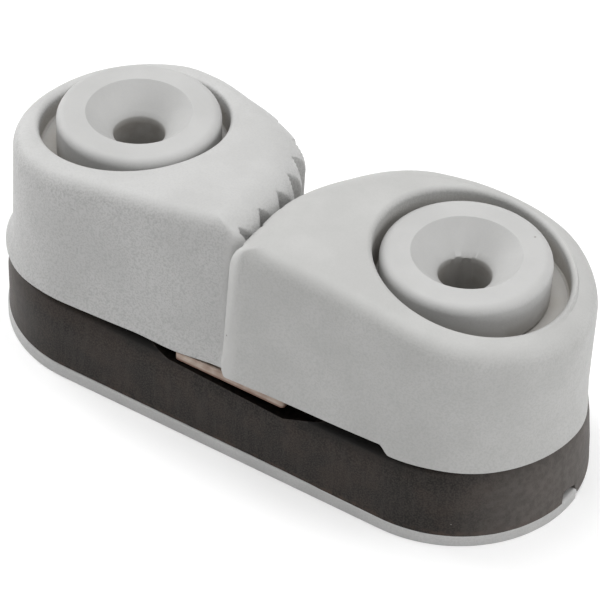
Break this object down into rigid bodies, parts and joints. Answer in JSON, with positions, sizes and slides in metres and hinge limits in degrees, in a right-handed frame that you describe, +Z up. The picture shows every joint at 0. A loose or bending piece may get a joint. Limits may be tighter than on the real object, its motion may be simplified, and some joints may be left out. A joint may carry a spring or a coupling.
{
  "type": "cam cleat",
  "caption": "Screw-down cam cleat: sprung toothed cams swing on flanged bushes over an obround base and grip a line pulled between their jaws.",
  "frame": {"origin": "middle of the base plate's underside, half-way between the two screw holes", "axes": "+X from the left screw hole to the right one, -Y towards the side the line is pulled from, +Z up"},
  "size_m": [0.0656, 0.0281, 0.027],
  "materials": {
    "plate_plastic": "moulded, light grey",
    "base_plastic": "moulded, charcoal, fine grain",
    "strip_metal": "satin, warm tint",
    "bush_plastic": "moulded, light grey",
    "cam_plastic": "moulded, light grey, fine grain",
    "spring_steel": "drawn wire"
  },
  "bodies": {
    "base": {"base_plate": "plate_plastic", "base_body": "base_plastic", "wear_strip": "strip_metal", "left_bush": "bush_plastic", "right_bush": "bush_plastic", "left_spring": "spring_steel", "right_spring": "spring_steel"},
    "left_cam": {"left_cam": "cam_plastic"},
    "right_cam": {"right_cam": "cam_plastic"}
  },
  "joints": [
    {"name": "left_cam_swing", "type": "hinge", "parent": "base", "child": "left_cam", "pos_m": [-0.019, 0, 0.017], "axis": [0, 0, 1], "range_deg": [-55, 0], "stiffness_Nm_per_rad": 0.05, "springref_deg": 57.3, "deforming": ["left_spring"]},
    {"name": "right_cam_swing", "type": "hinge", "parent": "base", "child": "right_cam", "pos_m": [0.019, 0, 0.017], "axis": [0, 0, 1], "range_deg": [0, 55], "stiffness_Nm_per_rad": 0.05, "springref_deg": -57.3, "deforming": ["right_spring"]}
  ]
}
